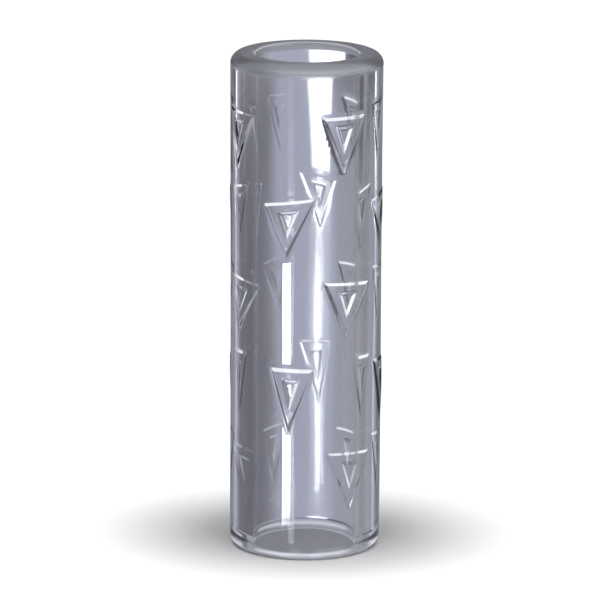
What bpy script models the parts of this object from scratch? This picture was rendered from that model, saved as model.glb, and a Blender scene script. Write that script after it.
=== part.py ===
"""A moulded glass bottleneck slide for guitar, as one open glass tube.

The tube stands on its lower rim with +Z along the bore, and its origin is at the middle of that rim's plane.
Its outside carries five rows of four raised triangles, point down, each with a small triangular pit.
Every second row is turned by half the spacing between the triangles of a row.
"""

import math

import bmesh
import bpy
from mathutils import Vector
from mathutils.geometry import delaunay_2d_cdt

# The tube, in metres.
LENGTH = 0.0762
OUTER_RADIUS = 0.0116
BORE_RADIUS = 0.0079
RIM_OUTER_FILLET = 0.0017

# The bore's edges. The upper one is sharper, which leaves a wider flat ring on the upper rim than on the lower one.
UPPER_BORE_FILLET = 0.0005
LOWER_BORE_FILLET = 0.0012

# The raised triangles, point down, in metres. They stand out furthest at their points.
ROWS = 5
MOTIFS_PER_ROW = 4
ROW_PITCH = 0.01285
MOTIF_WIDTH = 0.0076
MOTIF_HEIGHT = 0.0090
TOP_RELIEF = 0.00019
POINT_RELIEF = 0.00041
TOP_BEVEL = 0.00050
SIDE_BEVEL = 0.00050

# The pit in the middle of each triangle, in metres. Its floor lies below the plain tube.
PIT_WIDTH = 0.0028
PIT_HEIGHT = 0.0044
PIT_BELOW_TOP = 0.0015
PIT_FLOOR = -0.00016
PIT_BEVEL = 0.00045

# How finely the faceted surface follows the round one.
COLUMNS = 48
FILLET_STEPS = 4
TOP_EDGE_STEPS = 6
SIDE_EDGE_STEPS = 4
SKIN_ROW_HEIGHT = 0.0043
MOTIF_CLEARANCE = 0.0006

WELD_DISTANCE = 0.000001
SHARP_ANGLE = math.radians(35.0)
FULL_TURN = 2.0 * math.pi

GLASS_COLOUR = (0.80, 0.81, 0.87, 1.0)
GLASS_ROUGHNESS = 0.05
GLASS_IOR = 1.5

# The flat pattern that wraps round the tube: a quarter of it holds one column of odd and one of even rows.
CELL_WIDTH = FULL_TURN * OUTER_RADIUS / MOTIFS_PER_ROW
CELL_COLUMNS = COLUMNS // MOTIFS_PER_ROW
SKIN_BOTTOM = RIM_OUTER_FILLET
SKIN_TOP = LENGTH - RIM_OUTER_FILLET


def clear_scene():
    """Remove the objects that a new Blender file starts with."""
    for thing in list(bpy.data.objects):
        bpy.data.objects.remove(thing, do_unlink=True)


def glass_material():
    """Clear glass with a slight grey-lavender cast."""
    material = bpy.data.materials.new("clear_glass")
    material.use_nodes = True
    shader = material.node_tree.nodes["Principled BSDF"]
    shader.inputs["Base Color"].default_value = GLASS_COLOUR
    shader.inputs["Roughness"].default_value = GLASS_ROUGHNESS
    shader.inputs["Metallic"].default_value = 0.0
    shader.inputs["IOR"].default_value = GLASS_IOR
    shader.inputs["Transmission Weight"].default_value = 1.0
    return material


def side_slope():
    """Sideways travel of a triangle's slanting side for each metre of height."""
    return 0.5 * MOTIF_WIDTH / MOTIF_HEIGHT


def inset_triangle(top_inset, side_inset):
    """Width, height and drop of the outer triangle once its top and its sides have moved inward."""
    slope = side_slope()
    side_shift = side_inset * math.hypot(1.0, slope)
    half_width = 0.5 * MOTIF_WIDTH - side_shift - top_inset * slope
    return 2.0 * half_width, half_width / slope, top_inset


def triangle_outline(middle, top, width, height):
    """Points round a point-down triangle in the flat pattern, anticlockwise from its upper right corner."""
    right = Vector((middle + 0.5 * width, top))
    left = Vector((middle - 0.5 * width, top))
    apex = Vector((middle, top - height))
    points = []
    sides = ((right, left, TOP_EDGE_STEPS), (left, apex, SIDE_EDGE_STEPS), (apex, right, SIDE_EDGE_STEPS))
    for start, end, steps in sides:
        points += [start.lerp(end, step / steps) for step in range(steps)]
    return points


def motif_places():
    """Middle and top edge of each triangle in one quarter of the flat pattern, lowest row first."""
    pattern_height = (ROWS - 1) * ROW_PITCH + MOTIF_HEIGHT
    lowest_top = 0.5 * (LENGTH - pattern_height) + MOTIF_HEIGHT
    places = []
    for row in range(ROWS):
        middle = CELL_WIDTH * (0.5 if row % 2 == 0 else 0.0)
        places.append((middle, lowest_top + row * ROW_PITCH))
    return places


def crest_relief(drop):
    """Height of a triangle's face over the tube, at a distance below its top edge."""
    return TOP_RELIEF + (POINT_RELIEF - TOP_RELIEF) * drop / MOTIF_HEIGHT


def motif_outlines(middle, top):
    """The outlines of one triangle from its foot to its pit floor, each as points with heights over the tube."""
    crest_width, crest_height, crest_drop = inset_triangle(TOP_BEVEL, SIDE_BEVEL)
    pit_top = top - PIT_BELOW_TOP
    floor_width = PIT_WIDTH - 2.0 * PIT_BEVEL * (math.hypot(1.0, side_slope()) + side_slope())
    floor_height = PIT_HEIGHT * floor_width / PIT_WIDTH
    foot = triangle_outline(middle, top, MOTIF_WIDTH, MOTIF_HEIGHT)
    crest = triangle_outline(middle, top - crest_drop, crest_width, crest_height)
    pit = triangle_outline(middle, pit_top, PIT_WIDTH, PIT_HEIGHT)
    floor = triangle_outline(middle, pit_top - PIT_BEVEL, floor_width, floor_height)
    return (
        [(point.x, point.y, 0.0) for point in foot],
        [(point.x, point.y, crest_relief(top - point.y)) for point in crest],
        [(point.x, point.y, crest_relief(top - point.y)) for point in pit],
        [(point.x, point.y, PIT_FLOOR) for point in floor],
    )


def over_motif(x, z, middle, top):
    """Whether a point of the flat pattern lies on the triangle at the given place or close round it."""
    widened = 0.5 * MOTIF_WIDTH + MOTIF_CLEARANCE * math.hypot(1.0, side_slope())
    drop = top - z
    return -MOTIF_CLEARANCE < drop and abs(x - middle) < widened - drop * side_slope()


def cell_left_edge():
    """Left edge of the quarter pattern, halfway between two triangle columns."""
    return -0.25 * CELL_WIDTH


def skin_grid_points(places):
    """Grid points of the quarter pattern, leaving out those on or close to a triangle."""
    rows = round((SKIN_TOP - SKIN_BOTTOM) / SKIN_ROW_HEIGHT)
    points = []
    for row in range(rows + 1):
        z = SKIN_BOTTOM + (SKIN_TOP - SKIN_BOTTOM) * row / rows
        for column in range(CELL_COLUMNS + 1):
            x = cell_left_edge() + CELL_WIDTH * column / CELL_COLUMNS
            if not any(over_motif(x, z, middle, top) for middle, top in places):
                points.append(Vector((x, z)))
    return points


def inside_motif(point, places):
    """Whether a point of the flat pattern lies within the foot of any triangle."""
    for middle, top in places:
        drop = top - point.y
        if 0.0 < drop < MOTIF_HEIGHT and abs(point.x - middle) < 0.5 * MOTIF_WIDTH - drop * side_slope():
            return True
    return False


def plain_skin(places):
    """Triangles of the plain skin round the motifs: flat points, all at height zero, and faces."""
    points = skin_grid_points(places)
    edges = []
    for middle, top in places:
        foot = triangle_outline(middle, top, MOTIF_WIDTH, MOTIF_HEIGHT)
        first = len(points)
        points += foot
        edges += [(first + i, first + (i + 1) % len(foot)) for i in range(len(foot))]
    flat, _, triangles, _, _, _ = delaunay_2d_cdt(points, edges, [], 0, WELD_DISTANCE)
    kept = []
    for face in triangles:
        centre = sum((flat[i] for i in face), Vector((0.0, 0.0))) / len(face)
        if not inside_motif(centre, places):
            kept.append(face)
    return [(point.x, point.y, 0.0) for point in flat], kept


def raised_motif(middle, top):
    """Faces of one triangle: its bevels, its flat band, its pit walls and its pit floor."""
    outlines = motif_outlines(middle, top)
    count = len(outlines[0])
    points = [point for outline in outlines for point in outline]
    faces = []
    for ring in range(len(outlines) - 1):
        outer = ring * count
        inner = outer + count
        for i in range(count):
            following = (i + 1) % count
            faces.append((outer + i, outer + following, inner + following, inner + i))
    points.append(tuple(sum(values) / count for values in zip(*outlines[-1])))
    floor = (len(outlines) - 1) * count
    faces += [(floor + i, floor + (i + 1) % count, len(points) - 1) for i in range(count)]
    return points, faces


def on_tube(angle, radius, z):
    """A point at an angle round the tube, counted from the -Y side towards +X."""
    return Vector((radius * math.sin(angle), -radius * math.cos(angle), z))


def add_pattern(bm, points, faces):
    """Wrap a piece of the flat pattern round the tube, once for each quarter."""
    for quarter in range(MOTIFS_PER_ROW):
        shift = quarter * CELL_WIDTH
        verts = [bm.verts.new(on_tube((x + shift) / OUTER_RADIUS, OUTER_RADIUS + level, z)) for x, z, level in points]
        for face in faces:
            bm.faces.new([verts[i] for i in face])


def fillet(centre_radius, centre_z, size, start, end):
    """Points of a rim's quarter round, from one angle to another, in degrees above the outward direction."""
    points = []
    for step in range(FILLET_STEPS + 1):
        angle = math.radians(start + (end - start) * step / FILLET_STEPS)
        points.append((centre_radius + size * math.cos(angle), centre_z + size * math.sin(angle)))
    return points


def rim_and_bore_profile():
    """Radius and height of each ring, from the top of the skin over the upper rim and down to its foot."""
    outer_centre = OUTER_RADIUS - RIM_OUTER_FILLET
    upper_centre = BORE_RADIUS + UPPER_BORE_FILLET
    lower_centre = BORE_RADIUS + LOWER_BORE_FILLET
    return (
        fillet(outer_centre, LENGTH - RIM_OUTER_FILLET, RIM_OUTER_FILLET, 0.0, 90.0)
        + fillet(upper_centre, LENGTH - UPPER_BORE_FILLET, UPPER_BORE_FILLET, 90.0, 180.0)
        + fillet(lower_centre, LOWER_BORE_FILLET, LOWER_BORE_FILLET, 180.0, 270.0)
        + fillet(outer_centre, RIM_OUTER_FILLET, RIM_OUTER_FILLET, 270.0, 360.0)
    )


def add_rims_and_bore(bm):
    """The two rounded rims and the bore, as rings joined by rows of faces."""
    first_angle = cell_left_edge() / OUTER_RADIUS
    angles = [first_angle + FULL_TURN * column / COLUMNS for column in range(COLUMNS)]
    rings = []
    for radius, z in rim_and_bore_profile():
        rings.append([bm.verts.new(on_tube(angle, radius, z)) for angle in angles])
    for lower, upper in zip(rings, rings[1:]):
        for i in range(COLUMNS):
            following = (i + 1) % COLUMNS
            bm.faces.new((lower[i], lower[following], upper[following], upper[i]))


def build_slide():
    """Make the whole slide as one object."""
    bm = bmesh.new()
    places = motif_places()
    add_pattern(bm, *plain_skin(places))
    for middle, top in places:
        add_pattern(bm, *raised_motif(middle, top))
    add_rims_and_bore(bm)
    bmesh.ops.remove_doubles(bm, verts=bm.verts, dist=WELD_DISTANCE)
    bmesh.ops.recalc_face_normals(bm, faces=bm.faces)
    mesh = bpy.data.meshes.new("glass_slide")
    bm.to_mesh(mesh)
    bm.free()
    mesh.shade_smooth()
    mesh.set_sharp_from_angle(angle=SHARP_ANGLE)
    slide = bpy.data.objects.new("glass_slide", mesh)
    slide.data.materials.append(glass_material())
    bpy.context.scene.collection.objects.link(slide)
    return slide


clear_scene()
build_slide()
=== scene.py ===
"""The finished look of the moulded glass guitar slide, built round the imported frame.

The slide is one piece of glass, so it is one mesh: a skin with raised triangles, two rims and the bore.
Each surface is a function of two coordinates, which gives both the points of the mesh and its exact normals.
"""

import math

import bpy
import numpy as np
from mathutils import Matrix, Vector
from mathutils.geometry import delaunay_2d_cdt


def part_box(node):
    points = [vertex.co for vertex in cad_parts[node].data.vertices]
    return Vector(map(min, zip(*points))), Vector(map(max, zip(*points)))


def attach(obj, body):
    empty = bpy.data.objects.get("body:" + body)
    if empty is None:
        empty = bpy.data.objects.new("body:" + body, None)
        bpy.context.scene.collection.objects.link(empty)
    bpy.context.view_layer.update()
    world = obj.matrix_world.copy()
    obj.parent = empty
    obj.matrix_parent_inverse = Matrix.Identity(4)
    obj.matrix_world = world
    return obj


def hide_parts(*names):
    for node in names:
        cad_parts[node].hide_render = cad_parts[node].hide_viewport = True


FULL_TURN = 2.0 * math.pi

# The tube. Its length comes from the frame, and the rest is as in the design.
OUTER_RADIUS = 0.0116
BORE_RADIUS = 0.0079
RIM_OUTER_FILLET = 0.0017
UPPER_BORE_FILLET = 0.0005
LOWER_BORE_FILLET = 0.0012

# The raised triangles, point down. They stand out furthest at their points.
ROWS = 5
MOTIFS_PER_ROW = 4
ROW_PITCH = 0.01285
MOTIF_WIDTH = 0.0076
MOTIF_HEIGHT = 0.0090
TOP_RELIEF = 0.00019
POINT_RELIEF = 0.00041
SIDE_BEVEL = 0.00050
TOP_BEVEL = 0.00050
BEVEL_ROUNDING = 0.5
CORNER_SOFTNESS = 0.00010

# The pit in the middle of each triangle. Its floor lies below the plain tube.
PIT_WIDTH = 0.0028
PIT_HEIGHT = 0.0044
PIT_BELOW_TOP = 0.0015
PIT_FLOOR = -0.00016
PIT_BEVEL = 0.00045

# How unevenly the mould pressed the triangles. The pattern turns by TWIST radians for each metre of height.
# Each row has its own shift round the tube and up it in metres, sideways lean, tilt of the top edge, and
# how much wider and longer its triangles are, lowest row first. SPREAD is how far one triangle may differ
# from its row. The depths are shares of the full relief: a line for each row, lowest first, with its
# triangles in turn round the tube. A triangle holds its own shape out to HOLD_RADIUS from its middle, which
# lies at HOLD_CENTRE of its height below its top edge, and the skin evens out over FADE_WIDTH beyond that.
TWIST = math.radians(122.0)
ROW_SHAPES = (
    (-0.00002, -0.00031, 0.040, -0.063, 0.150, 0.056),
    (-0.00008, 0.00015, 0.087, -0.009, -0.090, 0.120),
    (0.00013, 0.00027, 0.104, -0.080, 0.140, -0.058),
    (0.00001, 0.00015, 0.068, 0.150, 0.125, 0.000),
    (-0.00003, 0.00000, 0.075, 0.005, 0.020, -0.020),
)
SPREAD = (0.00015, 0.00010, 0.030, 0.050, 0.040, 0.030)
DEPTHS = (
    (0.26, 0.25, 0.20, 0.12),
    (1.00, 0.50, 0.34, 0.40),
    (0.65, 0.40, 0.24, 0.32),
    (0.85, 0.36, 0.31, 0.38),
    (1.00, 0.60, 0.36, 0.45),
)
UNEVEN_SEED = 7
HOLD_RADIUS = 0.0055
HOLD_CENTRE = 0.4
FADE_WIDTH = 0.0040

# The skin's departure from a true cylinder, in metres: an even inset, a taper towards the foot, and shallow
# waves. Each wave has a height, waves round the tube, radians along it and a start in radians.
SKIN_INSET = 0.00003
SKIN_TAPER = 0.00015
SKIN_WAVES = (
    (0.000014, 3.0, 5.0, 0.7),
    (0.000010, 5.0, -9.0, 2.1),
    (0.000030, 2.0, 7.0, math.pi),
)
BORE_WAVES = (
    (0.000030, 2.0, 4.0, 0.0),
    (0.000010, 7.0, -11.0, 1.3),
)

# The section of the rims and the bore, from the top of the skin to its foot, has seven parts: fillet, ring,
# fillet, bore, fillet, ring and fillet. Over BLEND_PARTS of them at each end, the waves of the outside give
# way to those of the bore.
SECTION_PARTS = 7
BLEND_PARTS = 3.0

# How finely the mesh follows the surfaces.
COLUMNS = 160
SKIN_ROW_HEIGHT = 0.0009
RIM_STEPS = 14
FLAT_STEPS = 3
BORE_STEPS = 48
TOP_EDGE_STEPS = 28
SIDE_EDGE_STEPS = 36
OUTER_BEVEL_RINGS = 7
BAND_RINGS = 3
PIT_BEVEL_RINGS = 6
FLOOR_RINGS = 3
GRID_CLEARANCE = 0.00035
NORMAL_STEP = 0.000002
WELD_DISTANCE = 0.0000001

# A triangle's rings are found by halving along rays. The rays start at PIT_CENTRE of its pit's height below
# the pit's top edge, and go RAY_REACH times as far as the triangle's sharp outline. A face of the plain skin
# counts as outside a triangle up to FOOT_SLACK of the side bevel inside its foot.
HALVINGS = 40
RAY_REACH = 1.2
PIT_CENTRE = 0.36
FOOT_SLACK = 0.02

# The glass: its two mixed tints, and how far smears blur it and ripples bend it. Each noise has its scale
# and its detail.
GLASS_IOR = 1.5
GREYER_GLASS = (0.90, 0.905, 0.930, 1.0)
CLEARER_GLASS = (0.98, 0.982, 0.995, 1.0)
CLOUD_NOISE = (90.0, 3.0)
SMEAR_NOISE = (260.0, 4.0)
SMEAR_RANGE = (0.45, 0.8)
SMEAR_HAZE = 0.06
RIPPLE_NOISE = (220.0, 2.0)
RIPPLE_STRENGTH = 0.15
RIPPLE_DEPTH = 0.00002

# The bore is a little hazy. The lower rim is hazier, which fades out between two heights, in sizes of the
# outer fillet. The upper lip is frosted and painted dark grey, partly frost and partly painted shade: its
# ring all round, and its shoulder on the front side only, whose grey is painted shade. The limits are
# counted down from the top in sizes of the outer fillet, and the shaded front's are in outer radii along Y.
BORE_HAZE = 0.08
LOWER_RIM_HAZE = 0.25
LOWER_RIM_FADE = (1.0, 0.3)
LIP_HAZE = 0.45
LIP_FROST_AND_SHADE = 0.2
# The lip's dark grey: partly frost, partly painted shade.
LIP_FROST_AND_SHADE_COLOUR = (0.27, 0.274, 0.30, 1.0)
RING_FROST_AND_SHADE = (1.05, 0.8)
SHOULDER_PAINTED_SHADE = (1.5, 0.6)
SHADED_FRONT = (0.2, -0.3)

# The camera, as in the photograph: far off, above the slide and looking down a little, turned towards +X.
CAMERA_TURN = math.radians(11.0)
CAMERA_DISTANCE = 0.88
CAMERA_HEIGHT = 0.244
CAMERA_LENS = 353.0
CAMERA_SENSOR = 36.0
CAMERA_CLIP_START = 0.01
CAMERA_ROLL = math.radians(0.30)
CAMERA_AIM_DROP = 0.0008
CAMERA_AIM_LEFT = 0.00027

WHITE = (1.0, 1.0, 1.0, 1.0)

# The backdrop round the slide: azimuth in degrees, and colour. It is darker on the left than on the right.
BACKDROP = (
    (-180.0, (0.34, 0.35, 0.38, 1.0)),
    (-90.0, (0.30, 0.30, 0.34, 1.0)),
    (-68.0, (0.16, 0.16, 0.18, 1.0)),
    (-56.0, (0.130, 0.130, 0.150, 1.0)),
    (-30.0, (0.135, 0.135, 0.155, 1.0)),
    (-21.0, (0.155, 0.155, 0.18, 1.0)),
    (-16.5, (0.18, 0.18, 0.21, 1.0)),
    (-13.0, (0.22, 0.22, 0.26, 1.0)),
    (-10.4, (0.29, 0.295, 0.355, 1.0)),
    (-8.0, (0.385, 0.40, 0.49, 1.0)),
    (8.0, (0.42, 0.435, 0.54, 1.0)),
    (10.5, (0.34, 0.345, 0.41, 1.0)),
    (30.0, (0.33, 0.335, 0.39, 1.0)),
    (38.0, (0.25, 0.25, 0.28, 1.0)),
    (48.0, (0.25, 0.25, 0.28, 1.0)),
    (90.0, (0.50, 0.51, 0.56, 1.0)),
    (180.0, (0.34, 0.35, 0.38, 1.0)),
)

# Cards and windows over the backdrop: azimuths, elevations, softness of the edges and colour. Later cards lie
# over earlier ones.
CARDS = (
    # Dark and light cards just above the slide's own background. They draw the triangles' slanting edges.
    ((5.0, 42.0), (-10.9, -6.8), 0.25, (0.03, 0.03, 0.04, 1.0)),
    ((42.0, 80.0), (-10.3, 20.0), 0.4, (0.33, 0.335, 0.38, 1.0)),
    ((-8.0, 5.0), (-8.5, -6.8), 0.4, (0.04, 0.04, 0.05, 1.0)),
    ((-64.0, -8.0), (-10.6, -7.0), 0.3, (0.42, 0.42, 0.46, 1.0)),
    ((-46.0, -8.0), (-6.8, -5.6), 0.3, (0.05, 0.05, 0.06, 1.0)),
    ((-110.0, -46.0), (-10.3, 30.0), 0.4, (0.38, 0.385, 0.43, 1.0)),
    # The glow in the far side of the lower rim.
    ((-30.0, 20.0), (1.0, 15.0), 1.2, (0.75, 0.76, 0.79, 1.0)),
    # The wide white strip under the upper rim, and the soft strip below it.
    ((0.7, 7.0), (-11.9, -9.6), 0.2, (2.0, 2.05, 2.1, 1.0)),
    ((1.1, 6.2), (-15.1, -12.5), 0.8, (0.60, 0.64, 0.76, 1.0)),
    ((2.1, 4.4), (-13.6, -12.5), 0.2, (1.15, 1.18, 1.22, 1.0)),
    ((2.6, 4.2), (-15.0, -13.4), 0.2, (1.05, 1.08, 1.14, 1.0)),
    # The dark line at the upper right.
    ((31.0, 43.0), (-12.2, -10.5), 0.6, (0.20, 0.20, 0.23, 1.0)),
    ((54.5, 76.0), (-11.9, -10.3), 0.4, (0.01, 0.01, 0.015, 1.0)),
    # The bright window in front, which the outside reflects as a narrow strip.
    ((-157.0, -144.5), (-15.2, -12.6), 0.15, (32.0, 32.5, 33.0, 1.0)),
    # Two windows above it, for the rims and the triangles' top edges.
    ((100.0, 160.0), (5.0, 32.0), 2.0, (3.0, 3.05, 3.15, 1.0)),
    ((-170.0, -150.0), (5.0, 32.0), 2.0, (3.0, 3.05, 3.15, 1.0)),
    # The table: grey close by, white beyond, and darker on the left.
    ((-200.0, 200.0), (-90.0, -27.0), 2.0, (0.50, 0.51, 0.55, 1.0)),
    ((-24.0, 60.0), (-27.5, -17.5), 1.0, (1.15, 1.16, 1.20, 1.0)),
    ((-110.0, -32.0), (-42.0, -17.5), 2.0, (0.30, 0.30, 0.33, 1.0)),
    # The ceiling.
    ((-100.0, 100.0), (45.0, 91.0), 4.0, (0.6, 0.6, 0.65, 1.0)),
)

# The floor and its glow far out, the grey paper under the bore, whose grey is painted shade, the lamp over
# them, and the flag that shades the floor round the slide's foot.
FLOOR_SIZE = 2.4
GLOW_START = 0.15
GLOW_END = 1.0
FLOOR_GLOW = 0.30
FLOOR_PAPER = (0.88, 0.88, 0.882, 1.0)
# The disc's grey is painted shade.
PAINTED_SHADE_PAPER = (0.50, 0.50, 0.53, 1.0)
FLAG_PAPER = (0.05, 0.05, 0.05, 1.0)
PAPER_MOTTLE = 1.02
MOTTLE_NOISE = (12.0, 3.0)
PAPER_ROUGHNESS = 0.9
PAPER_LIFT = 0.0002
LAMP_WIDTH = 1.75
LAMP_DEPTH = 1.5
LAMP_HEIGHT = 2.5
LAMP_FORWARD = 0.30
LAMP_POWER = 77.0
FLAG_RADIUS = 0.0198
FLAG_CLEARANCE = 0.0005
FLAG_HEIGHT = 0.046
FLAG_STRETCH = 1.1
ROUND_STEPS = 96

# The even light that the floor gets from the room beside the lamp's.
ROOM = (0.06, 0.06, 0.06, 1.0)


# ---------------------------------------------------------------------------------------------------------
# The flat pattern: x is the distance round the tube from the -Y side towards +X, and z is the height.


def soft_maximum(*values):
    """The largest of several arrays, rounded where two of them meet."""
    stacked = np.stack([np.asarray(value, float) for value in values])
    highest = stacked.max(axis=0)
    return highest + CORNER_SOFTNESS * np.log(np.exp((stacked - highest) / CORNER_SOFTNESS).sum(axis=0))


def triangle_level(across, up, width, height, top_scale):
    """Distance outside a point-down triangle whose top edge is at up = 0, negative inside it.

    top_scale stretches the distance from the top edge, so that its bevel is wider than those of the sides.
    """
    slope = 0.5 * width / height
    to_side = 1.0 / math.hypot(1.0, slope)
    half = 0.5 * width + up * slope
    return soft_maximum(up / top_scale, (across - half) * to_side, (-across - half) * to_side)


def outer_level(across, up):
    """Level of the triangle's own outline."""
    return triangle_level(across, up, MOTIF_WIDTH, MOTIF_HEIGHT, TOP_BEVEL / SIDE_BEVEL)


def pit_level(across, up):
    """Level of the outline of the triangle's pit."""
    return triangle_level(across, up + PIT_BELOW_TOP, PIT_WIDTH, PIT_HEIGHT, 1.0)


def smooth_step(value):
    """0 below 0, 1 above 1, and a smooth rise between."""
    value = np.clip(value, 0.0, 1.0)
    return value * value * (3.0 - 2.0 * value)


def bevel(value):
    """A bevel's height from 0 to 1: partly straight, partly rounded."""
    return BEVEL_ROUNDING * smooth_step(value) + (1.0 - BEVEL_ROUNDING) * np.clip(value, 0.0, 1.0)


def motif_height(across, up):
    """Height of one triangle over the plain tube."""
    crest = TOP_RELIEF - (POINT_RELIEF - TOP_RELIEF) * up / MOTIF_HEIGHT
    raised = crest * bevel(-outer_level(across, up) / SIDE_BEVEL)
    sunk = bevel(-pit_level(across, up) / PIT_BEVEL)
    return raised + (PIT_FLOOR - raised) * sunk


class Tube:
    """The slide's surfaces as functions of two coordinates.

    The pattern repeats in cells, and the first one's left edge runs midway between two columns of triangles.
    """

    def __init__(self, length):
        self.length = length
        self.cell_width = FULL_TURN * OUTER_RADIUS / MOTIFS_PER_ROW
        self.cell_left = -0.25 * self.cell_width
        self.skin_bottom = RIM_OUTER_FILLET
        self.skin_top = length - RIM_OUTER_FILLET
        pattern_height = (ROWS - 1) * ROW_PITCH + MOTIF_HEIGHT
        lowest_top = 0.5 * (length - pattern_height) + MOTIF_HEIGHT
        self.places = []
        for row in range(ROWS):
            middle = self.cell_width * (0.5 if row % 2 == 0 else 0.0)
            self.places.append((middle, lowest_top + row * ROW_PITCH))
        self.motifs = self.uneven_motifs()

    def uneven_motifs(self):
        """Each triangle's place in the flat pattern, its unevenness and its depth.

        The first triangle of each row differs from its row in nothing.
        """
        random = np.random.default_rng(UNEVEN_SEED)
        spread = random.uniform(-1.0, 1.0, (ROWS, MOTIFS_PER_ROW, len(SPREAD))) * SPREAD
        spread[:, 0] = 0.0
        motifs = []
        for row, (middle, top) in enumerate(self.places):
            for quarter, depth in enumerate(DEPTHS[row]):
                shape = spread[row, quarter] + ROW_SHAPES[row]
                motifs.append((middle + quarter * self.cell_width, top, shape, depth))
        return motifs

    def distance_across(self, x, centre):
        """Distance round the tube from a triangle's middle."""
        around = MOTIFS_PER_ROW * self.cell_width
        return (x - centre + 0.5 * around) % around - 0.5 * around

    def relief(self, x, z):
        """Height of the triangles over the plain tube at points of the flat pattern."""
        height = np.zeros_like(x)
        for centre, top, _, depth in self.motifs:
            height += depth * motif_height(self.distance_across(x, centre), z - top)
        return height

    def pressed(self, x, z):
        """Points of the flat pattern, moved with the uneven triangles."""
        moved_x = x.copy()
        moved_z = z.copy()
        for centre, top, (shift, rise, lean, tilt, wider, longer), _ in self.motifs:
            across = self.distance_across(x, centre)
            up = z - top
            from_centre = np.hypot(across, up + HOLD_CENTRE * MOTIF_HEIGHT)
            hold = 1.0 - smooth_step((from_centre - HOLD_RADIUS) / FADE_WIDTH)
            moved_x += hold * (shift + lean * up + wider * across)
            moved_z += hold * (rise + tilt * across + longer * up)
        return moved_x, moved_z

    def twisted(self, angle, z):
        """An angle round the tube, turned with the pattern's twist."""
        return angle + TWIST * (0.5 * self.length - z)

    def skin_wave(self, angle, z):
        """The outside's departure from a true cylinder: shallow ripples and a slight taper, all inward."""
        up = z / self.length
        crests = sum(height for height, _, _, _ in SKIN_WAVES)
        return waves(SKIN_WAVES, angle, up) - crests - SKIN_INSET - SKIN_TAPER * (1.0 - up)

    def bore_wave(self, angle, z):
        """The bore's departure from a true cylinder."""
        return waves(BORE_WAVES, angle, z / self.length)

    def skin_point(self, x, z):
        """Points of the outside."""
        height = self.relief(x, z)
        x, z = self.pressed(x, z)
        angle = self.twisted(x / OUTER_RADIUS, z)
        return on_tube(angle, OUTER_RADIUS + self.skin_wave(angle, z) + height, z)

    def section(self, s):
        """Radius and height along the rims and the bore, for s from 0 to SECTION_PARTS."""
        outer_centre = OUTER_RADIUS - RIM_OUTER_FILLET
        upper_centre = BORE_RADIUS + UPPER_BORE_FILLET
        lower_centre = BORE_RADIUS + LOWER_BORE_FILLET
        part = np.clip(np.floor(s), 0, SECTION_PARTS - 1).astype(int)
        t = s - part
        quarter = 0.5 * math.pi
        arcs = {
            0: (outer_centre, self.length - RIM_OUTER_FILLET, RIM_OUTER_FILLET, 0.0),
            2: (upper_centre, self.length - UPPER_BORE_FILLET, UPPER_BORE_FILLET, quarter),
            4: (lower_centre, LOWER_BORE_FILLET, LOWER_BORE_FILLET, 2.0 * quarter),
            6: (outer_centre, RIM_OUTER_FILLET, RIM_OUTER_FILLET, 3.0 * quarter),
        }
        lines = {
            1: ((outer_centre, self.length), (upper_centre, self.length)),
            3: ((BORE_RADIUS, self.length - UPPER_BORE_FILLET), (BORE_RADIUS, LOWER_BORE_FILLET)),
            5: ((lower_centre, 0.0), (outer_centre, 0.0)),
        }
        radius = np.zeros_like(s)
        z = np.zeros_like(s)
        for index, (centre_radius, centre_z, size, start) in arcs.items():
            here = part == index
            angle = start + quarter * t[here]
            radius[here] = centre_radius + size * np.cos(angle)
            z[here] = centre_z + size * np.sin(angle)
        for index, (start, end) in lines.items():
            here = part == index
            radius[here] = start[0] + (end[0] - start[0]) * t[here]
            z[here] = start[1] + (end[1] - start[1]) * t[here]
        return radius, z

    def rim_point(self, angle, s):
        """Points of the rims and the bore."""
        radius, z = self.section(s)
        inward = smooth_step(s / BLEND_PARTS) * smooth_step((SECTION_PARTS - s) / BLEND_PARTS)
        angle = self.twisted(angle, z)
        wave = (1.0 - inward) * self.skin_wave(angle, z) + inward * self.bore_wave(angle, z)
        return on_tube(angle, radius + wave, z)


def waves(shapes, angle, up):
    """The sum of several waves, at angles round the tube and shares of its height."""
    return sum(height * np.sin(count * angle + climb * up + start) for height, count, climb, start in shapes)


def on_tube(angle, radius, z):
    """Points at an angle round the tube, counted from the -Y side towards +X."""
    return np.stack([radius * np.sin(angle), -radius * np.cos(angle), z], axis=-1)


def surface_normals(surface, first, second):
    """Outward normals of a surface of two coordinates, by small differences."""
    along_first = surface(first + NORMAL_STEP, second) - surface(first - NORMAL_STEP, second)
    along_second = surface(first, second + NORMAL_STEP) - surface(first, second - NORMAL_STEP)
    normals = np.cross(along_first, along_second)
    return normals / np.linalg.norm(normals, axis=1, keepdims=True)


# ---------------------------------------------------------------------------------------------------------
# The mesh.


def eased(steps):
    """Fractions along an edge, closer together near its ends."""
    return [0.5 - 0.5 * math.cos(math.pi * step / steps) for step in range(steps)]


def triangle_outline():
    """Points round the sharp triangle, anticlockwise from its upper right corner, in its own coordinates."""
    right = Vector((0.5 * MOTIF_WIDTH, 0.0))
    left = Vector((-0.5 * MOTIF_WIDTH, 0.0))
    apex = Vector((0.0, -MOTIF_HEIGHT))
    sides = ((right, left, TOP_EDGE_STEPS), (left, apex, SIDE_EDGE_STEPS), (apex, right, SIDE_EDGE_STEPS))
    return np.array([tuple(a.lerp(b, t)) for a, b, steps in sides for t in eased(steps)])


def reach(level, target, centre, rays):
    """How far along each ray from the centre a level function takes its target value."""
    near = np.zeros(len(rays))
    far = np.ones(len(rays))
    for _ in range(HALVINGS):
        middle = 0.5 * (near + far)
        across = centre[0] + middle * rays[:, 0]
        up = centre[1] + middle * rays[:, 1]
        inside = level(across, up) < target
        near = np.where(inside, middle, near)
        far = np.where(inside, far, middle)
    return near


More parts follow.
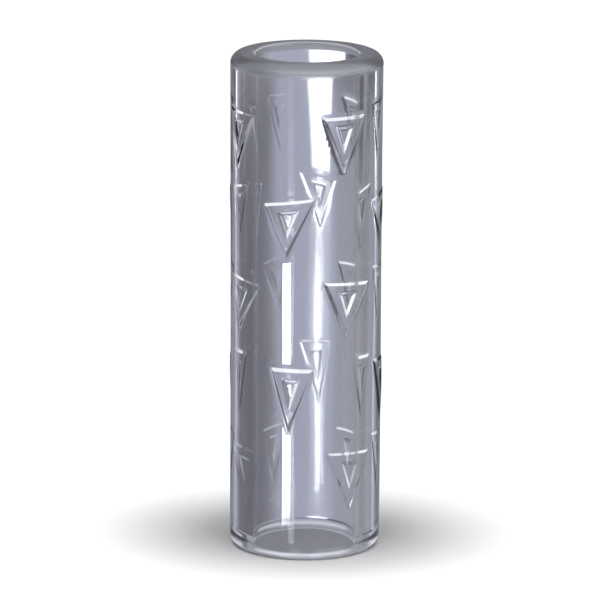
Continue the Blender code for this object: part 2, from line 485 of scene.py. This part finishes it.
def bevel_rings(level, width, rings, centre, rays):
    """Distances along the rays to a bevel's rings, from its outer edge to its inner one."""
    return [reach(level, -width * k / rings, centre, rays) for k in range(rings + 1)]


def motif_rings():
    """Rings of points round one triangle, from its foot to the middle of its pit, in its own coordinates."""
    centre = np.array([0.0, -PIT_BELOW_TOP - PIT_CENTRE * PIT_HEIGHT])
    rays = RAY_REACH * (triangle_outline() - centre)
    outer = bevel_rings(outer_level, SIDE_BEVEL, OUTER_BEVEL_RINGS, centre, rays)
    pit = bevel_rings(pit_level, PIT_BEVEL, PIT_BEVEL_RINGS, centre, rays)
    band = [outer[-1] + (pit[0] - outer[-1]) * k / (BAND_RINGS + 1) for k in range(1, BAND_RINGS + 1)]
    floor = [pit[-1] * (1.0 - k / (FLOOR_RINGS + 1)) for k in range(1, FLOOR_RINGS + 1)]
    return centre, [centre + distance[:, None] * rays for distance in outer + band + pit + floor]


def raised_motif():
    """Flat points and faces of one triangle, in its own coordinates."""
    centre, rings = motif_rings()
    count = len(rings[0])
    points = np.concatenate(rings + [centre[None, :]])
    faces = []
    for ring in range(len(rings) - 1):
        outer = ring * count
        inner = outer + count
        for i in range(count):
            following = (i + 1) % count
            faces.append((outer + i, outer + following, inner + following, inner + i))
    last = (len(rings) - 1) * count
    faces += [(last + i, last + (i + 1) % count, len(points) - 1) for i in range(count)]
    return points, faces, rings[0]


def plain_skin(tube, foot):
    """Flat points and faces of a quarter of the skin, round the feet of its triangles."""
    rows = round((tube.skin_top - tube.skin_bottom) / SKIN_ROW_HEIGHT)
    columns = COLUMNS // MOTIFS_PER_ROW
    x, z = np.meshgrid(
        tube.cell_left + tube.cell_width * np.arange(columns + 1) / columns,
        tube.skin_bottom + (tube.skin_top - tube.skin_bottom) * np.arange(rows + 1) / rows,
    )
    x = x.ravel()
    z = z.ravel()
    clear = np.ones(len(x), bool)
    for middle, top in tube.places:
        clear &= outer_level(x - middle, z - top) > GRID_CLEARANCE
    points = [Vector(pair) for pair in zip(x[clear], z[clear])]
    edges = []
    for middle, top in tube.places:
        first = len(points)
        points += [Vector((middle + across, top + up)) for across, up in foot]
        edges += [(first + i, first + (i + 1) % len(foot)) for i in range(len(foot))]
    flat, _, triangles, _, _, _ = delaunay_2d_cdt(points, edges, [], 0, WELD_DISTANCE)
    flat = np.array([tuple(point) for point in flat])
    centres = np.array([flat[list(face)].mean(axis=0) for face in triangles])
    outside = np.ones(len(centres), bool)
    for middle, top in tube.places:
        outside &= outer_level(centres[:, 0] - middle, centres[:, 1] - top) > -FOOT_SLACK * SIDE_BEVEL
    return flat, [tuple(face) for face, keep in zip(triangles, outside) if keep]


class MeshParts:
    """Points, normals and faces gathered from several surfaces, then welded into one mesh."""

    def __init__(self):
        self.points = []
        self.normals = []
        self.faces = []
        self.count = 0

    def add(self, surface, first, second, faces):
        """Add faces over a surface of two coordinates."""
        self.points.append(surface(first, second))
        self.normals.append(surface_normals(surface, first, second))
        self.faces += [tuple(self.count + i for i in face) for face in faces]
        self.count += len(first)

    def mesh(self, name):
        """One smooth mesh with exact normals."""
        points = np.concatenate(self.points)
        normals = np.concatenate(self.normals)
        keys = np.round(points / WELD_DISTANCE).astype(np.int64)
        _, first, place = np.unique(keys, axis=0, return_index=True, return_inverse=True)
        place = place.ravel()
        mesh = bpy.data.meshes.new(name)
        mesh.from_pydata(points[first].tolist(), [], [[int(place[i]) for i in face] for face in self.faces])
        mesh.shade_smooth()
        mesh.normals_split_custom_set_from_vertices(normals[first].tolist())
        return mesh


def section_steps():
    """Steps along the rims and the bore, from the top of the skin to its foot."""
    counts = (RIM_STEPS, FLAT_STEPS, RIM_STEPS, BORE_STEPS, RIM_STEPS, FLAT_STEPS, RIM_STEPS)
    steps = [part + k / count for part, count in enumerate(counts) for k in range(count)]
    return np.array(steps + [float(len(counts))])


def add_rims_and_bore(parts, tube):
    """The two rounded rims and the bore, as rings of points."""
    first_angle = tube.cell_left / OUTER_RADIUS
    angles = first_angle + FULL_TURN * np.arange(COLUMNS) / COLUMNS
    steps = section_steps()
    s, angle = np.meshgrid(steps, angles, indexing="ij")
    faces = []
    for ring in range(len(steps) - 1):
        lower = ring * COLUMNS
        upper = lower + COLUMNS
        for i in range(COLUMNS):
            following = (i + 1) % COLUMNS
            faces.append((lower + i, lower + following, upper + following, upper + i))
    parts.add(tube.rim_point, angle.ravel(), s.ravel(), faces)


def glass_slide(tube):
    """The whole slide as one piece of glass."""
    parts = MeshParts()
    motif_points, motif_faces, foot = raised_motif()
    flat, skin_faces = plain_skin(tube, foot)
    for quarter in range(MOTIFS_PER_ROW):
        shift = quarter * tube.cell_width
        parts.add(tube.skin_point, flat[:, 0] + shift, flat[:, 1], skin_faces)
        for middle, top in tube.places:
            x = motif_points[:, 0] + middle + shift
            parts.add(tube.skin_point, x, motif_points[:, 1] + top, motif_faces)
    add_rims_and_bore(parts, tube)
    slide = bpy.data.objects.new("moulded_glass_slide", parts.mesh("moulded_glass_slide"))
    bpy.context.scene.collection.objects.link(slide)
    return slide


# ---------------------------------------------------------------------------------------------------------
# Materials.


class Nodes:
    """Short ways to add nodes to one node tree."""

    def __init__(self, tree):
        self.tree = tree

    def add(self, kind, settings=None, **inputs):
        """Add a node, set its properties, and set or link its inputs by name."""
        node = self.tree.nodes.new(kind)
        for name, value in (settings or {}).items():
            setattr(node, name, value)
        for name, value in inputs.items():
            self.put(node.inputs[name.replace("_", " ")], value)
        return node

    def put(self, socket, value):
        """Link a socket to another node's output, or set its value."""
        if isinstance(value, bpy.types.NodeSocket):
            self.tree.links.new(value, socket)
        else:
            socket.default_value = value

    def math(self, operation, *values):
        """The result of a Math node."""
        node = self.tree.nodes.new("ShaderNodeMath")
        node.operation = operation
        for socket, value in zip(node.inputs, values):
            self.put(socket, value)
        return node.outputs[0]

    def rise(self, value, low, high):
        """0 below low, 1 above high, and a smooth rise between."""
        node = self.tree.nodes.new("ShaderNodeMapRange")
        node.interpolation_type = "SMOOTHSTEP"
        self.put(node.inputs["Value"], value)
        self.put(node.inputs["From Min"], low)
        self.put(node.inputs["From Max"], high)
        return node.outputs["Result"]

    def mix(self, amount, first, second):
        """A colour between two others.

        The node has sockets of one name for each kind of value, so the colour ones are taken by number.
        """
        node = self.tree.nodes.new("ShaderNodeMix")
        node.data_type = "RGBA"
        self.put(node.inputs["Factor"], amount)
        self.put(node.inputs[6], first)
        self.put(node.inputs[7], second)
        return node.outputs[2]

    def ramp(self, value, stops):
        """A colour that follows a value, through stops of a value and a colour."""
        lowest = stops[0][0]
        highest = stops[-1][0]
        node = self.tree.nodes.new("ShaderNodeValToRGB")
        above = self.math("SUBTRACT", value, lowest)
        self.put(node.inputs["Fac"], self.math("DIVIDE", above, highest - lowest))
        elements = node.color_ramp.elements
        elements.remove(elements[0])
        for number, (stop, colour) in enumerate(stops):
            element = elements[0] if number == 0 else elements.new((stop - lowest) / (highest - lowest))
            element.position = (stop - lowest) / (highest - lowest)
            element.color = colour
        return node.outputs["Color"]


def noise(nodes, place, scale, detail):
    """A noise texture's value at a place."""
    return nodes.add("ShaderNodeTexNoise", Vector=place, Scale=scale, Detail=detail).outputs["Fac"]


def lip_frost_and_painted_shade(nodes, sides, from_axis, length):
    """1 where the upper lip is frosted and painted dark grey, partly as painted shade, and 0 elsewhere."""
    on_frost_and_shade_ring, on_painted_shade_shoulder = [
        nodes.rise(sides["Z"], length - start * RIM_OUTER_FILLET, length - end * RIM_OUTER_FILLET)
        for start, end in (RING_FROST_AND_SHADE, SHOULDER_PAINTED_SHADE)
    ]
    # On the front shoulder the lip's dark grey is painted shade.
    in_painted_shade_front = nodes.rise(sides["Y"], SHADED_FRONT[0] * OUTER_RADIUS, SHADED_FRONT[1] * OUTER_RADIUS)
    off_bore = nodes.rise(from_axis, BORE_RADIUS, BORE_RADIUS + UPPER_BORE_FILLET)
    frost_and_shade_area = nodes.math("MAXIMUM", on_frost_and_shade_ring, nodes.math("MULTIPLY", on_painted_shade_shoulder, in_painted_shade_front))
    return nodes.math("MULTIPLY", frost_and_shade_area, off_bore)


def glass_material(length):
    """Clear moulded glass with a faint ripple, smears, a hazy bore and lower rim, and a lip that is frosted
    and painted dark grey, partly as painted shade.
    """
    material = bpy.data.materials.new("clear_glass")
    material.use_nodes = True
    nodes = Nodes(material.node_tree)
    shader = material.node_tree.nodes["Principled BSDF"]
    shader.inputs["Metallic"].default_value = 0.0
    shader.inputs["IOR"].default_value = GLASS_IOR
    place = nodes.add("ShaderNodeTexCoord").outputs["Object"]
    sides = nodes.add("ShaderNodeSeparateXYZ", Vector=place).outputs
    squares = [nodes.math("MULTIPLY", sides[axis], sides[axis]) for axis in "XY"]
    from_axis = nodes.math("SQRT", nodes.math("ADD", *squares))
    in_bore = nodes.rise(from_axis, BORE_RADIUS + LOWER_BORE_FILLET, BORE_RADIUS)
    on_lower_rim = nodes.rise(sides["Z"], *[share * RIM_OUTER_FILLET for share in LOWER_RIM_FADE])
    on_lip_frost_and_shade = lip_frost_and_painted_shade(nodes, sides, from_axis, length)
    clear = nodes.mix(noise(nodes, place, *CLOUD_NOISE), GREYER_GLASS, CLEARER_GLASS)
    # The lip's dark grey colour is partly frost and partly painted shade.
    nodes.put(shader.inputs["Base Color"], nodes.mix(on_lip_frost_and_shade, clear, LIP_FROST_AND_SHADE_COLOUR))
    frost_and_shade_weight = nodes.math("MULTIPLY", on_lip_frost_and_shade, LIP_FROST_AND_SHADE)
    nodes.put(shader.inputs["Transmission Weight"], nodes.math("SUBTRACT", 1.0, frost_and_shade_weight))
    smears = nodes.rise(noise(nodes, place, *SMEAR_NOISE), *SMEAR_RANGE)
    roughness = nodes.math("MULTIPLY", smears, SMEAR_HAZE)
    for mask, haze in ((in_bore, BORE_HAZE), (on_lower_rim, LOWER_RIM_HAZE), (on_lip_frost_and_shade, LIP_HAZE)):
        roughness = nodes.math("MAXIMUM", roughness, nodes.math("MULTIPLY", mask, haze))
    nodes.put(shader.inputs["Roughness"], roughness)
    ripple = noise(nodes, place, *RIPPLE_NOISE)
    bump = nodes.add("ShaderNodeBump", Height=ripple, Strength=RIPPLE_STRENGTH, Distance=RIPPLE_DEPTH)
    nodes.put(shader.inputs["Normal"], bump.outputs["Normal"])
    return material


def paper_material(name, colour):
    """Plain studio paper with a barely visible mottle."""
    material = bpy.data.materials.new(name)
    material.use_nodes = True
    nodes = Nodes(material.node_tree)
    shader = material.node_tree.nodes["Principled BSDF"]
    shader.inputs["Roughness"].default_value = PAPER_ROUGHNESS
    shader.inputs["Specular IOR Level"].default_value = 0.0
    place = nodes.add("ShaderNodeTexCoord").outputs["Object"]
    mottle = noise(nodes, place, *MOTTLE_NOISE)
    lighter = tuple(PAPER_MOTTLE * value for value in colour[:3]) + (1.0,)
    nodes.put(shader.inputs["Base Color"], nodes.mix(mottle, colour, lighter))
    return material


# ---------------------------------------------------------------------------------------------------------
# The studio.


def studio_floor():
    """A large floor, which glows more and more outward and so fades into the white behind it."""
    bpy.ops.mesh.primitive_plane_add(size=FLOOR_SIZE)
    floor = bpy.context.object
    floor.name = "studio_floor"
    material = paper_material("studio_floor", FLOOR_PAPER)
    nodes = Nodes(material.node_tree)
    place = nodes.add("ShaderNodeTexCoord").outputs["Object"]
    from_middle = nodes.add("ShaderNodeVectorMath", {"operation": "LENGTH"}, Vector=place).outputs["Value"]
    glow = nodes.math("MULTIPLY", nodes.rise(from_middle, GLOW_START, GLOW_END), FLOOR_GLOW)
    nodes.put(material.node_tree.nodes["Principled BSDF"].inputs["Emission Strength"], glow)
    floor.data.materials.append(material)
    floor.visible_transmission = False
    floor.visible_glossy = False


class Surroundings:
    """The light that the glass sees round it, by direction, in degrees from the camera's own turn.

    An azimuth of 0 is straight behind the slide, and positive ones are to the right.
    """

    def __init__(self, nodes):
        self.nodes = nodes
        direction = nodes.add("ShaderNodeTexCoord").outputs["Generated"]
        turned = nodes.add(
            "ShaderNodeVectorRotate", {"rotation_type": "Z_AXIS"}, Vector=direction, Angle=-CAMERA_TURN
        ).outputs["Vector"]
        parts = nodes.add("ShaderNodeSeparateXYZ", Vector=turned).outputs
        self.azimuth = nodes.math("DEGREES", nodes.math("ARCTAN2", parts["X"], parts["Y"]))
        self.elevation = nodes.math("DEGREES", nodes.math("ARCSINE", parts["Z"]))
        self.colour = nodes.ramp(self.azimuth, BACKDROP)

    def within(self, value, low, high, softness):
        """1 between two limits, falling smoothly to 0 outside them."""
        after = self.nodes.rise(value, low - softness, low + softness)
        before = self.nodes.rise(value, high + softness, high - softness)
        return self.nodes.math("MULTIPLY", after, before)

    def card(self, azimuths, elevations, softness, colour):
        """Lay a card over what is there already."""
        across = self.within(self.azimuth, *azimuths, softness)
        up = self.within(self.elevation, *elevations, softness)
        self.colour = self.nodes.mix(self.nodes.math("MULTIPLY", across, up), self.colour, colour)


def studio_world():
    """The surroundings, which the camera itself sees as plain white and the floor as an even room."""
    world = bpy.data.worlds.new("studio")
    bpy.context.scene.world = world
    world.use_nodes = True
    nodes = Nodes(world.node_tree)
    surroundings = Surroundings(nodes)
    for azimuths, elevations, softness, colour in CARDS:
        surroundings.card(azimuths, elevations, softness, colour)
    ray = nodes.add("ShaderNodeLightPath").outputs
    for_floor = nodes.mix(ray["Is Diffuse Ray"], surroundings.colour, ROOM)
    background = world.node_tree.nodes["Background"]
    nodes.put(background.inputs["Color"], nodes.mix(ray["Is Camera Ray"], for_floor, WHITE))


def overhead_light():
    """A wide soft lamp high above and a little in front. It lights the floor and isn't seen in the glass."""
    data = bpy.data.lights.new("overhead_light", "AREA")
    data.shape = "ELLIPSE"
    data.size = LAMP_WIDTH
    data.size_y = LAMP_DEPTH
    data.energy = LAMP_POWER
    lamp = bpy.data.objects.new("overhead_light", data)
    lamp.location = (LAMP_FORWARD * math.sin(CAMERA_TURN), -LAMP_FORWARD * math.cos(CAMERA_TURN), LAMP_HEIGHT)
    lamp.rotation_euler = (0.0, 0.0, CAMERA_TURN)
    lamp.visible_transmission = False
    lamp.visible_glossy = False
    lamp.visible_camera = False
    bpy.context.scene.collection.objects.link(lamp)


def ring(name, inner, outer, height, colour):
    """A flat ring of paper round the slide's axis, which the camera doesn't see.

    An inner radius of 0 makes it a full disc.
    """
    turns = np.linspace(0.0, FULL_TURN, ROUND_STEPS, endpoint=False)
    circle = np.stack([np.cos(turns), np.sin(turns), np.zeros(ROUND_STEPS)], axis=1)
    points = np.concatenate([inner * circle, outer * circle])
    faces = []
    for i in range(ROUND_STEPS):
        following = (i + 1) % ROUND_STEPS
        faces.append((i, ROUND_STEPS + i, ROUND_STEPS + following, following))
    mesh = bpy.data.meshes.new(name)
    mesh.from_pydata(points.tolist(), [], faces)
    paper = bpy.data.objects.new(name, mesh)
    paper.location = (0.0, 0.0, height)
    paper.rotation_euler = (0.0, 0.0, CAMERA_TURN)
    paper.visible_camera = False
    bpy.context.scene.collection.objects.link(paper)
    paper.data.materials.append(paper_material(name, colour))
    return paper


def shading():
    """Grey paper in the lower rim as painted shade of the slide, and a flag that shades the floor round it.
    """
    # The disc's grey is painted shade, seen through the glass where the floor lies in the slide's shade.
    ring("painted_shade_disc", 0.0, BORE_RADIUS, PAPER_LIFT, PAINTED_SHADE_PAPER)
    flag = ring("flag", OUTER_RADIUS + FLAG_CLEARANCE, FLAG_RADIUS, FLAG_HEIGHT, FLAG_PAPER)
    flag.visible_transmission = False
    flag.visible_glossy = False
    flag.scale = (FLAG_STRETCH, 1.0, 1.0)


def photo_camera(middle):
    """The photograph's camera."""
    data = bpy.data.cameras.new("photo_camera")
    data.lens = CAMERA_LENS
    data.sensor_width = CAMERA_SENSOR
    data.clip_start = CAMERA_CLIP_START
    camera = bpy.data.objects.new("photo_camera", data)
    camera.location = (
        CAMERA_DISTANCE * math.sin(CAMERA_TURN),
        -CAMERA_DISTANCE * math.cos(CAMERA_TURN),
        CAMERA_HEIGHT,
    )
    to_left = Vector((-math.cos(CAMERA_TURN), -math.sin(CAMERA_TURN), 0.0))
    aim = middle + CAMERA_AIM_LEFT * to_left - Vector((0.0, 0.0, CAMERA_AIM_DROP))
    look = (aim - camera.location).to_track_quat("-Z", "Y")
    camera.rotation_euler = look.to_euler()
    camera.rotation_euler.rotate_axis("Z", CAMERA_ROLL)
    bpy.context.scene.collection.objects.link(camera)
    bpy.context.scene.camera = camera


# ---------------------------------------------------------------------------------------------------------
# The scene.


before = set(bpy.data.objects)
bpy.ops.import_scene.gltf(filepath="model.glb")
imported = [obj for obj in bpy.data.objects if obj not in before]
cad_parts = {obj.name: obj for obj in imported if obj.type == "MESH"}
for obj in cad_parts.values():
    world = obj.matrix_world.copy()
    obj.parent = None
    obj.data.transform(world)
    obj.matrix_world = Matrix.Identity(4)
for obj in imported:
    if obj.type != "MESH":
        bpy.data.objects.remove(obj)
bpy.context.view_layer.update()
low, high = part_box("glass_slide")
middle = 0.5 * (low + high)

slide = glass_slide(Tube(high.z - low.z))
slide.data.materials.append(glass_material(high.z - low.z))
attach(slide, "root")
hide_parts("glass_slide")

bpy.context.scene.view_settings.view_transform = "Standard"
studio_floor()
studio_world()
shading()
overhead_light()
photo_camera(middle)
